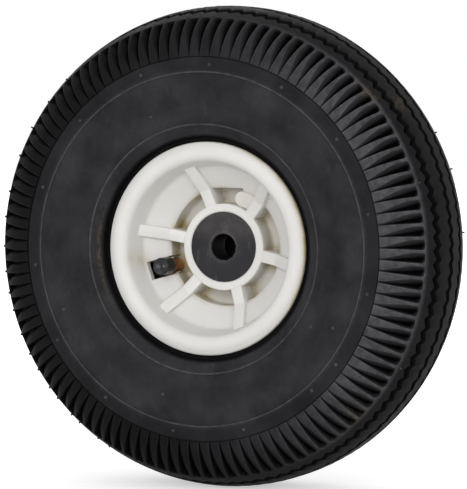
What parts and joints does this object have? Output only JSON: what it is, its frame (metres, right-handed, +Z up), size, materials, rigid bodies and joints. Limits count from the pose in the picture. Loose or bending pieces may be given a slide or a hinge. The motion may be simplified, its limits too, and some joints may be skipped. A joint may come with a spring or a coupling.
{
  "type": "wheel",
  "caption": "Air-filled wheel with a ribbed rubber tyre, a dished white plastic rim with spokes, dark plain bushes for an axle and a bent valve with a screw cap.",
  "frame": {"origin": "the wheel's centre: on the axle's axis, in the tyre's middle plane", "axes": "+Y along the axle, from the dished face with the valve to the long end of the hub; +Z up; the wheel spins about +Y"},
  "size_m": [0.2634, 0.0902, 0.2636],
  "materials": {
    "tyre_rubber": "dry, slightly dusty",
    "tube_rubber": "smooth",
    "rim_plastic": "moulded, stained in its corners",
    "bush_plastic": "scuffed",
    "valve_brass": "tarnished",
    "cap_plastic": "moulded",
    "washer_rubber": "smooth",
    "spring_steel": "drawn wire"
  },
  "bodies": {
    "wheel": {"tyre": "tyre_rubber", "inner_tube": "tube_rubber", "rim": "rim_plastic", "front_bush": "bush_plastic", "rear_bush": "bush_plastic", "valve_stem": "valve_brass", "valve_core": "valve_brass", "core_washer": "washer_rubber", "valve_spring": "spring_steel"},
    "cap": {"valve_cap": "cap_plastic"},
    "pin": {"valve_pin": "valve_brass", "pin_washer": "washer_rubber"}
  },
  "joints": [
    {"name": "cap_off", "type": "slide", "parent": "wheel", "child": "cap", "axis": [0, -1, 0], "range_m": [0, 0.036]},
    {"name": "pin_press", "type": "slide", "parent": "wheel", "child": "pin", "axis": [0, 1, 0], "range_m": [0, 0.0012], "stiffness_N_per_m": 800, "springref_m": -0.002, "deforming": ["valve_spring"]}
  ]
}
